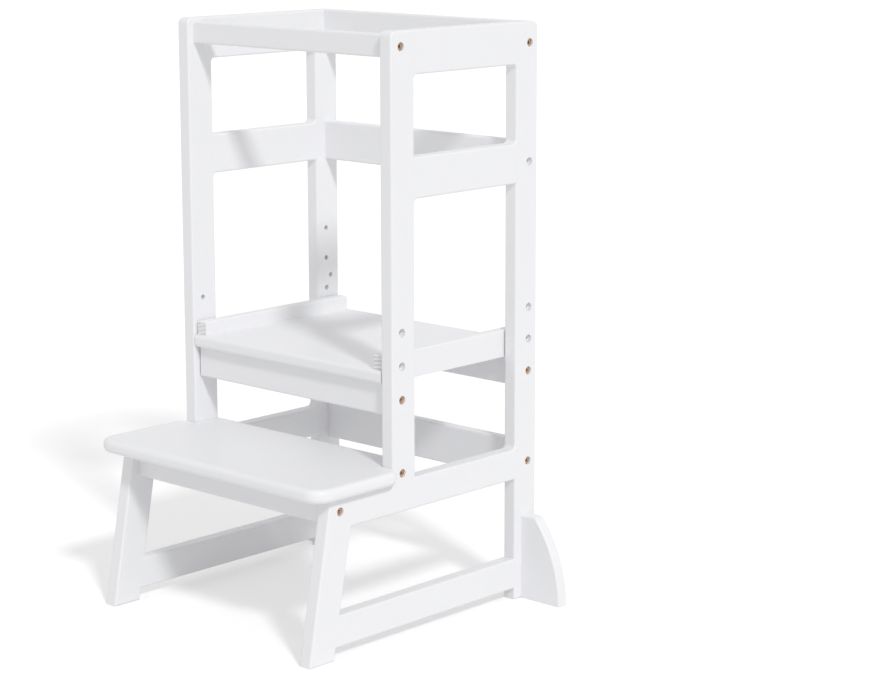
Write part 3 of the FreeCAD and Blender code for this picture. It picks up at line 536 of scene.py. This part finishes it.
def metal_material(name, plating, tarnish, roughness, ring_spacing, ring_depth):
    """Plated metal that has been turned, for bolts, nuts and screws."""
    material, tree, shader = new_material(name)
    place = add_node(
        tree, "ShaderNodeAttribute", attribute_name=PLACE_ON_PIECE, attribute_type="GEOMETRY"
    ).outputs["Vector"]
    link_group(
        tree, shader, shared_group("Turned Metal", turned_metal_group),
        {
            "Place on Piece": place, "Plating": plating, "Tarnish": tarnish, "Roughness": roughness,
            "Ring Spacing": ring_spacing, "Ring Depth": ring_depth, "Patch Size": PATCH_SIZE,
        },
    )
    shader.inputs["Metallic"].default_value = 1.0
    return material


def beech_material():
    """Bare beech of the dowels: pale brown with short darker flecks."""
    material, tree, shader = new_material("Beech dowels")
    place = add_node(tree, "ShaderNodeTexCoord").outputs["Object"]
    growth = add_node(
        tree, "ShaderNodeTexNoise", {"Vector": place, "Scale": GROWTH_SCALE, "Detail": 4.0}
    ).outputs[0]
    to_fleck = add_node(
        tree, "ShaderNodeTexVoronoi", {"Vector": place, "Scale": FLECK_SCALE}
    ).outputs["Distance"]
    colour = mix_colours(tree, growth, BEECH, BEECH_GROWTH)
    fleck = calculate(tree, "LESS_THAN", to_fleck, FLECK_RADIUS)
    colour = mix_colours(tree, times(tree, fleck, FLECK_STRENGTH), colour, BEECH_FLECK)
    tree.links.new(colour, shader.inputs["Base Color"])
    rough = calculate(tree, "MULTIPLY_ADD", growth, BEECH_ROUGHENING, BEECH_ROUGHNESS)
    tree.links.new(rough, shader.inputs["Roughness"])
    bump = add_node(tree, "ShaderNodeBump", {"Height": growth, "Strength": 0.6, "Distance": 0.1 * MM})
    tree.links.new(bump.outputs[0], shader.inputs["Normal"])
    return material


def paint_node(name, material):
    """Gives a CAD node its finished material."""
    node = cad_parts[name]
    if not node.material_slots:
        node.data.materials.append(None)
    for slot in node.material_slots:
        slot.material = material


def paint_boards(names, grain_axis):
    """Paints boards; those that butt against the side frames show a hairline of painted seam shade at their
    ends.
    """
    for name in names:
        butts = name.endswith(("rail", "apron"))
        strength = bpy.context.scene.stool_paint.seam_shade_strength if butts else 0.0
        paint_node(name, board_material(name, grain_axis, strength, CLEAT_RINGS.get(name, NO_RINGS)))


# ---------------------------------------------------------------- repeated metal pieces
def solid_boxes(name):
    """Lowest and highest corner of each separate solid in a CAD node."""
    mesh = bmesh.new()
    mesh.from_mesh(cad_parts[name].data)
    bmesh.ops.remove_doubles(mesh, verts=mesh.verts, dist=WELD_DISTANCE)
    left, boxes = set(mesh.verts), []
    while left:
        reached, edge = set(), [left.pop()]
        while edge:
            vertex = edge.pop()
            reached.add(vertex)
            for link in vertex.link_edges:
                other = link.other_vert(vertex)
                if other in left:
                    left.discard(other)
                    edge.append(other)
        places = [vertex.co for vertex in reached]
        boxes.append(
            (Vector([min(p[k] for p in places) for k in range(3)]),
             Vector([max(p[k] for p in places) for k in range(3)]))
        )
    mesh.free()
    return sorted(boxes, key=lambda box: tuple(round(v, SORTING_DIGITS) for v in box[0]))


def outward_x(place):
    """Direction from the stool's middle to the side that a bolt is on."""
    return Vector((math.copysign(1, place.x), 0, 0))


def placed_points(name, places):
    """Mesh of points that carry the direction that each piece faces."""
    mesh = bpy.data.meshes.new(name)
    mesh.from_pydata([place for place, _ in places], [], [])
    facing = mesh.attributes.new(OUTWARD, "FLOAT_VECTOR", "POINT")
    facing.data.foreach_set("vector", [value for _, direction in places for value in direction])
    points = bpy.data.objects.new(name, mesh)
    bpy.context.scene.collection.objects.link(points)
    return points


def new_geometry_tree(name, sizes):
    """Geometry Nodes tree with named inputs for its sizes, and a material."""
    tree = bpy.data.node_groups.new(name, "GeometryNodeTree")
    add_sockets(tree, "INPUT", {"Geometry": "Geometry"})
    add_sockets(tree, "INPUT", {size: "Float" for size in sizes})
    add_sockets(tree, "INPUT", {"Material": "Material"})
    add_sockets(tree, "OUTPUT", {"Geometry": "Geometry"})
    return tree, tree.nodes.new("NodeGroupInput").outputs


def moved(tree, mesh, z=0.0, turn=None):
    """A mesh moved along its own Z, and turned where it needs."""
    lift = add_node(tree, "ShaderNodeCombineXYZ", {"Z": z}).outputs[0]
    inputs = {"Geometry": mesh, "Translation": lift}
    if turn is not None:
        inputs["Rotation"] = turn
    return add_node(tree, "GeometryNodeTransform", inputs).outputs[0]


def rod(tree, diameter, length, low_z, sides=ROUND_SIDES):
    """Closed cylinder on the Z axis, from a height upwards."""
    radius = times(tree, diameter, 0.5)
    mesh = add_node(
        tree, "GeometryNodeMeshCylinder", {"Vertices": sides, "Radius": radius, "Depth": length},
        fill_type="NGON",
    ).outputs["Mesh"]
    middle = calculate(tree, "MULTIPLY_ADD", length, 0.5, low_z)
    return moved(tree, mesh, middle)


def cone(tree, low_diameter, top_diameter, length, low_z):
    """Closed cone on the Z axis, from a height upwards."""
    mesh = add_node(
        tree, "GeometryNodeMeshCone",
        {
            "Vertices": ROUND_SIDES, "Radius Top": times(tree, top_diameter, 0.5),
            "Radius Bottom": times(tree, low_diameter, 0.5), "Depth": length,
        },
        fill_type="NGON",
    ).outputs["Mesh"]
    return moved(tree, mesh, low_z)


def chamfer_cone(tree, diameter, chamfer, length):
    """Narrow and wide diameter of a 45 degree cone, as long as a rod, that chamfers the rod's end."""
    narrow = calculate(tree, "MULTIPLY_ADD", chamfer, -2.0, diameter)
    return narrow, calculate(tree, "MULTIPLY_ADD", length, 2.0, narrow)


def combine(tree, operation, first, others):
    """Boolean of a mesh with others; only a difference has a socket of its own for the first."""
    inputs = {0: first, 1: others} if operation == "DIFFERENCE" else {1: [first] + others}
    return add_node(
        tree, "GeometryNodeMeshBoolean", inputs, operation=operation, solver="EXACT"
    ).outputs["Mesh"]


def finish_tree(tree, given, piece):
    """Puts the piece on every point, facing that point's direction, as real geometry with its material."""
    own_place = add_node(tree, "GeometryNodeInputPosition").outputs[0]
    marked = add_node(
        tree, "GeometryNodeStoreNamedAttribute",
        {"Geometry": piece, "Name": PLACE_ON_PIECE, "Value": own_place},
        data_type="FLOAT_VECTOR", domain="POINT",
    )
    facing = add_node(
        tree, "GeometryNodeInputNamedAttribute", {"Name": OUTWARD}, data_type="FLOAT_VECTOR"
    ).outputs["Attribute"]
    turn = add_node(tree, "FunctionNodeAlignRotationToVector", {"Vector": facing}, axis="Z").outputs[0]
    placed = add_node(
        tree, "GeometryNodeInstanceOnPoints",
        {"Points": given["Geometry"], "Instance": marked.outputs[0], "Rotation": turn},
    ).outputs[0]
    real = add_node(tree, "GeometryNodeRealizeInstances", {"Geometry": placed}).outputs[0]
    dressed = add_node(
        tree, "GeometryNodeSetMaterial", {"Geometry": real, "Material": given["Material"]}
    ).outputs[0]
    add_node(tree, "NodeGroupOutput", {"Geometry": dressed})
    return tree


def bolt_tree():
    """Socket-head bolt: a chamfered head above its seat and a shank below it."""
    tree, given = new_geometry_tree(
        "Socket Bolts",
        ("Head Diameter", "Head Height", "Head Chamfer", "Socket Width", "Socket Depth", "Shank Diameter",
         "Shank Length"),
    )
    head_height, chamfer, width = given["Head Height"], given["Head Chamfer"], given["Socket Width"]
    head = rod(tree, given["Head Diameter"], head_height, 0.0)
    narrow, wide = chamfer_cone(tree, given["Head Diameter"], chamfer, head_height)
    head = combine(tree, "INTERSECT", head, [cone(tree, wide, narrow, head_height, 0.0)])
    socket_low = calculate(tree, "SUBTRACT", head_height, given["Socket Depth"])
    socket_height = times(tree, given["Socket Depth"], 2.0)  # its upper half stands clear above the head
    socket = rod(tree, times(tree, width, HEX_CORNERS), socket_height, socket_low, HEX_SIDES)
    mouth_low = calculate(tree, "MULTIPLY_ADD", chamfer, -MOUTH_DEPTH, head_height)
    mouth = cone(tree, times(tree, width, MOUTH_LOW), times(tree, width, MOUTH_TOP), chamfer, mouth_low)
    drill_depth = times(tree, width, DRILL_DEPTH)
    drill_low = calculate(tree, "SUBTRACT", socket_low, times(tree, drill_depth, DRILL_SUNK))
    drill = cone(tree, 0.0, times(tree, width, DRILL_WIDTH), drill_depth, drill_low)
    shank_low = times(tree, given["Shank Length"], -1.0)
    shank_height = calculate(tree, "ADD", given["Shank Length"], SHANK_OVERLAP)
    shank = rod(tree, given["Shank Diameter"], shank_height, shank_low)
    bolt = combine(tree, "UNION", head, [shank])
    bolt = combine(tree, "DIFFERENCE", bolt, [socket, mouth, drill])
    return finish_tree(tree, given, bolt)


def nut_tree():
    """Barrel nut: chamfered ends, a threaded cross hole and a slot in its outer end."""
    tree, given = new_geometry_tree(
        "Barrel Nuts", ("Diameter", "Length", "Chamfer", "Slot Width", "Thread Hole")
    )
    length, diameter, slot_width = given["Length"], given["Diameter"], given["Slot Width"]
    low = times(tree, length, -0.5)
    barrel = rod(tree, diameter, length, low)
    narrow, wide = chamfer_cone(tree, diameter, given["Chamfer"], length)
    ends = [cone(tree, wide, narrow, length, low), cone(tree, narrow, wide, length, low)]
    barrel = combine(tree, "INTERSECT", barrel, ends)
    reach = times(tree, diameter, CUT_REACH)
    hole = rod(tree, given["Thread Hole"], reach, times(tree, reach, -0.5))
    hole = moved(tree, hole, 0.0, (0, math.pi / 2, 0))
    slot_size = add_node(
        tree, "ShaderNodeCombineXYZ", {"X": reach, "Y": slot_width, "Z": times(tree, slot_width, 2.0)}
    ).outputs[0]
    slot = add_node(tree, "GeometryNodeMeshCube", {"Size": slot_size}).outputs["Mesh"]
    slot = moved(tree, slot, times(tree, length, 0.5))  # half of it in the barrel, as deep as it is wide
    nut = combine(tree, "DIFFERENCE", barrel, [hole, slot])
    return finish_tree(tree, given, nut)


def screw_tree():
    """Countersunk screw with a cross recess: the top of its head on its place, its point away from it."""
    tree, given = new_geometry_tree(
        "Countersunk Screws", ("Head Diameter", "Length", "Shank Diameter", "Recess Width")
    )
    head_width, width, length = given["Head Diameter"], given["Shank Diameter"], given["Length"]
    head_height = times(tree, calculate(tree, "SUBTRACT", head_width, width), 0.5)
    head = cone(tree, width, head_width, head_height, times(tree, head_height, -1.0))
    shank_reach = calculate(tree, "SUBTRACT", length, width)  # the point is as long as the shank is wide
    shank_length = calculate(tree, "SUBTRACT", shank_reach, times(tree, head_height, 0.5))
    shank = rod(tree, width, shank_length, times(tree, shank_reach, -1.0))
    point = cone(tree, times(tree, width, TIP_WIDTH), width, width, times(tree, length, -1.0))
    screw = combine(tree, "UNION", head, [shank, point])
    reach = times(tree, head_width, RECESS_REACH)
    deep = times(tree, head_height, RECESS_DEPTH)
    arms = []
    for across, up in (("X", "Y"), ("Y", "X")):
        size = add_node(
            tree, "ShaderNodeCombineXYZ", {across: reach, up: given["Recess Width"], "Z": deep}
        ).outputs[0]
        arms.append(add_node(tree, "GeometryNodeMeshCube", {"Size": size}).outputs["Mesh"])
    screw = combine(tree, "DIFFERENCE", screw, arms)
    return finish_tree(tree, given, screw)


def repeated_pieces(name, tree, places, sizes, material):
    """One plain mesh of like pieces, made by a Geometry Nodes tree on their places."""
    piece = placed_points(name, places)
    modifier = piece.modifiers.new(tree.name, "NODES")
    modifier.node_group = tree
    sockets = {item.name: item.identifier for item in tree.interface.items_tree if item.in_out == "INPUT"}
    for size, value in sizes.items():
        modifier[sockets[size]] = value
    modifier[sockets["Material"]] = material
    depsgraph = bpy.context.evaluated_depsgraph_get()
    mesh = bpy.data.meshes.new_from_object(piece.evaluated_get(depsgraph), depsgraph=depsgraph)
    piece.modifiers.remove(modifier)
    if not mesh.polygons:
        raise RuntimeError(name + " came out empty")
    points, piece.data = piece.data, mesh
    bpy.data.meshes.remove(points)
    mesh.name = name
    mesh.shade_smooth()
    mesh.set_sharp_from_angle(angle=SHARP_ANGLE)
    return piece


# ---------------------------------------------------------------- operators
class STOOL_OT_stage(bpy.types.Operator):
    """Make the floor, the studio light and the camera"""

    bl_idname = "stool.stage"
    bl_label = "Stage"

    def execute(self, context):
        stage = context.scene.stool_stage
        make_camera(stage)
        make_light(stage)
        make_floor(stage)
        context.scene.view_settings.view_transform = "Standard"
        return {"FINISHED"}


def make_camera(stage):
    """The camera at the view's angle."""
    data = bpy.data.cameras.new("Camera")
    data.sensor_width = SENSOR_WIDTH
    data.lens = stage.lens
    data.shift_x, data.shift_y = stage.shift
    data.clip_end = 2 * stage.floor_size
    camera = bpy.data.objects.new("Camera", data)
    bpy.context.scene.collection.objects.link(camera)
    camera.location = stage.camera_place
    camera.rotation_euler = (math.pi / 2 - stage.camera_tilt, 0, stage.camera_turn)
    bpy.context.scene.camera = camera


def make_light(stage):
    """A soft key light from the right, and even light from the room, which the camera sees as white."""
    data = bpy.data.lights.new("Key light", "SUN")
    data.energy = stage.key_strength
    data.angle = stage.key_softness
    key = bpy.data.objects.new("Key light", data)
    bpy.context.scene.collection.objects.link(key)
    key.rotation_euler = Vector(stage.key_from).to_track_quat("Z", "Y").to_euler()
    key.location = Vector(stage.key_from) * KEY_DISTANCE

    world = bpy.data.worlds.new("Studio")
    bpy.context.scene.world = world
    world.use_nodes = True
    tree = world.node_tree
    tree.nodes.clear()
    room = add_node(
        tree, "ShaderNodeBackground", {"Color": WHITE, "Strength": stage.room_strength}
    ).outputs[0]
    white = add_node(tree, "ShaderNodeBackground", {"Color": WHITE, "Strength": 1.0}).outputs[0]
    seen = seen_by_camera(tree)
    mixed = add_node(tree, "ShaderNodeMixShader", {0: seen, 1: room, 2: white}).outputs[0]
    add_node(tree, "ShaderNodeOutputWorld", {"Surface": mixed})


def seen_by_camera(tree):
    """1 for rays from the camera, also by way of gloss or glass."""
    path = add_node(tree, "ShaderNodeLightPath").outputs
    seen = calculate(tree, "MAXIMUM", path["Is Camera Ray"], path["Is Glossy Ray"])
    return calculate(tree, "MAXIMUM", seen, path["Is Transmission Ray"])


def make_floor(stage):
    """A matt floor that keeps the stool's shadow; the camera sees it a little brighter."""
    half = stage.floor_size / 2
    mesh = bpy.data.meshes.new("Floor")
    corners = [(-half, -half, 0), (half, -half, 0), (half, half, 0), (-half, half, 0)]
    mesh.from_pydata(corners, [], [(0, 1, 2, 3)])
    floor = bpy.data.objects.new("Floor", mesh)
    bpy.context.scene.collection.objects.link(floor)
    material = bpy.data.materials.new("Floor")
    material.use_nodes = True
    tree = material.node_tree
    tree.nodes.clear()
    matt = add_node(tree, "ShaderNodeBsdfDiffuse", {"Color": stage.floor_colour}).outputs[0]
    strength = times(tree, seen_by_camera(tree), stage.floor_glow)
    glow = add_node(tree, "ShaderNodeEmission", {"Strength": strength}).outputs[0]
    both = add_node(tree, "ShaderNodeAddShader", {0: matt, 1: glow}).outputs[0]
    add_node(tree, "ShaderNodeOutputMaterial", {"Surface": both})
    mesh.materials.append(material)


class STOOL_OT_side_frames(bpy.types.Operator):
    """Paint the posts, legs and rails of both side frames"""

    bl_idname = "stool.side_frames"
    bl_label = "Side Frames"

    def execute(self, context):
        # the painted seam shade shows only faintly inside the side frames
        strength = context.scene.stool_paint.sprayed_seam_shade_strength
        for side in ("right_", "left_"):
            for board, grain_axis in SIDE_BOARDS.items():
                paint_node(side + board, board_material(side + board, grain_axis, strength))
        return {"FINISHED"}


class STOOL_OT_cross_rails(bpy.types.Operator):
    """Paint the rails between the side frames"""

    bl_idname = "stool.cross_rails"
    bl_label = "Cross Rails"

    def execute(self, context):
        paint_boards(CROSS_RAILS, ALONG_X)
        return {"FINISHED"}


class STOOL_OT_step(bpy.types.Operator):
    """Paint the fixed step's board and the apron under it"""

    bl_idname = "stool.step"
    bl_label = "Step"

    def execute(self, context):
        paint_boards(STEP_BOARDS, ALONG_X)
        return {"FINISHED"}


class STOOL_OT_platform(bpy.types.Operator):
    """Paint the platform's board, aprons and cleats"""

    bl_idname = "stool.platform"
    bl_label = "Platform"

    def execute(self, context):
        paint_boards(PLATFORM_BOARDS, ALONG_X)
        paint_boards(CLEAT_RINGS, ALONG_Y)
        return {"FINISHED"}


class STOOL_OT_floor_wings(bpy.types.Operator):
    """Paint the wings that keep the stool from tipping"""

    bl_idname = "stool.floor_wings"
    bl_label = "Floor Wings"

    def execute(self, context):
        paint_boards(WINGS, ALONG_Z)
        return {"FINISHED"}


class STOOL_OT_dowels(bpy.types.Operator):
    """Finish the dowels inside the joints"""

    bl_idname = "stool.dowels"
    bl_label = "Dowels"

    def execute(self, context):
        material = beech_material()
        for name in DOWELS:
            paint_node(name, material)
        return {"FINISHED"}


class STOOL_OT_bolts(bpy.types.Operator):
    """Make the socket-head bolts of the frame and of the platform"""

    bl_idname = "stool.bolts"
    bl_label = "Bolts"

    def execute(self, context):
        bolts = context.scene.stool_bolts
        material = metal_material(
            "Brass bolts", bolts.colour, bolts.tarnish,
            roughness=0.3, ring_spacing=0.35 * MM, ring_depth=0.004 * MM,
        )
        tree = bolt_tree()
        for name, body, nodes in (
            ("frame_socket_bolts", "frame", ("right_frame_bolts", "left_frame_bolts")),
            ("platform_socket_bolts", "platform", ("platform_bolts",)),
        ):
            places = []
            for low, high in (box for node in nodes for box in solid_boxes(node)):
                middle, reach = (low + high) / 2, (high.x - low.x) / 2 - bolts.head_height
                outward = outward_x(middle)
                places.append((middle + outward * reach, outward))
                shank_length = high.x - low.x - bolts.head_height
            piece = repeated_pieces(
                name, tree, places,
                {
                    "Head Diameter": bolts.head_diameter, "Head Height": bolts.head_height,
                    "Head Chamfer": bolts.head_chamfer, "Socket Width": bolts.socket_width,
                    "Socket Depth": bolts.socket_depth, "Shank Diameter": bolts.shank_diameter,
                    "Shank Length": shank_length,
                },
                material,
            )
            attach(piece, body)
            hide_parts(*nodes)
        return {"FINISHED"}


class STOOL_OT_barrel_nuts(bpy.types.Operator):
    """Make the barrel nuts that the bolts screw into"""

    bl_idname = "stool.barrel_nuts"
    bl_label = "Barrel Nuts"

    def execute(self, context):
        nuts = context.scene.stool_nuts
        material = metal_material(
            "Zinc barrel nuts", nuts.colour, nuts.tarnish,
            roughness=0.34, ring_spacing=0.5 * MM, ring_depth=0.006 * MM,
        )
        tree = nut_tree()
        for name, body, node in (
            ("frame_cross_nuts", "frame", "frame_barrel_nuts"),
            ("platform_cross_nuts", "platform", "platform_barrel_nuts"),
        ):
            places = []
            for low, high in solid_boxes(node):
                size = high - low
                upright = size.z > size.y
                places.append(((low + high) / 2, Vector((0, 0, -1)) if upright else Vector((0, 1, 0))))
                length, diameter = max(size.y, size.z), size.x
            piece = repeated_pieces(
                name, tree, places,
                {
                    "Diameter": diameter, "Length": length, "Chamfer": nuts.nut_chamfer,
                    "Slot Width": nuts.slot_width, "Thread Hole": nuts.thread_hole,
                },
                material,
            )
            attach(piece, body)
            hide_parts(node)
        return {"FINISHED"}


class STOOL_OT_cleat_screws(bpy.types.Operator):
    """Make the countersunk screws that hold the cleats from below"""

    bl_idname = "stool.cleat_screws"
    bl_label = "Cleat Screws"

    def execute(self, context):
        nuts = context.scene.stool_nuts
        material = metal_material(
            "Zinc screws", nuts.colour, nuts.tarnish,
            roughness=0.36, ring_spacing=0.3 * MM, ring_depth=0.004 * MM,
        )
        places = []
        for low, high in solid_boxes("cleat_screws"):
            middle = (low + high) / 2
            places.append((Vector((middle.x, middle.y, low.z)), Vector((0, 0, -1))))
            head, length = high.x - low.x, high.z - low.z
        piece = repeated_pieces(
            "cleat_cross_screws", screw_tree(), places,
            {
                "Head Diameter": head, "Length": length, "Shank Diameter": nuts.screw_diameter,
                "Recess Width": nuts.recess_width,
            },
            material,
        )
        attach(piece, "platform")
        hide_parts("cleat_screws")
        return {"FINISHED"}


class STOOL_PT_panel(bpy.types.Panel):
    """Sidebar panel that lists the stool's pieces and its stage"""

    bl_idname = "STOOL_PT_panel"
    bl_label = "Helper Stool"
    bl_space_type = "VIEW_3D"
    bl_region_type = "UI"
    bl_category = "Stool"

    def draw(self, context):
        for operator in OPERATORS:
            self.layout.operator(operator.bl_idname)
        for group in SETTINGS:
            values = getattr(context.scene, group)
            box = self.layout.box()
            for name in values.__annotations__:
                box.prop(values, name)


# ---------------------------------------------------------------- registration
OPERATORS = (
    STOOL_OT_stage,
    STOOL_OT_side_frames,
    STOOL_OT_cross_rails,
    STOOL_OT_step,
    STOOL_OT_platform,
    STOOL_OT_floor_wings,
    STOOL_OT_dowels,
    STOOL_OT_bolts,
    STOOL_OT_barrel_nuts,
    STOOL_OT_cleat_screws,
)
SETTINGS = {
    "stool_paint": StoolPaint,
    "stool_bolts": StoolBolts,
    "stool_nuts": StoolNuts,
    "stool_stage": StoolStage,
}


def register():
    for group in SETTINGS.values():
        bpy.utils.register_class(group)
    for name, group in SETTINGS.items():
        setattr(bpy.types.Scene, name, bpy.props.PointerProperty(type=group))
    for operator in OPERATORS:
        bpy.utils.register_class(operator)
    bpy.utils.register_class(STOOL_PT_panel)


def unregister():
    bpy.utils.unregister_class(STOOL_PT_panel)
    for operator in reversed(OPERATORS):
        bpy.utils.unregister_class(operator)
    for name in SETTINGS:
        delattr(bpy.types.Scene, name)
    for group in reversed(SETTINGS.values()):
        bpy.utils.unregister_class(group)


def main():
    register()
    bpy.ops.stool.stage()
    bpy.ops.stool.side_frames()
    bpy.ops.stool.cross_rails()
    bpy.ops.stool.step()
    bpy.ops.stool.platform()
    bpy.ops.stool.floor_wings()
    bpy.ops.stool.dowels()
    bpy.ops.stool.bolts()
    bpy.ops.stool.barrel_nuts()
    bpy.ops.stool.cleat_screws()
    bpy.context.view_layer.update()


if __name__ == "__main__":
    main()
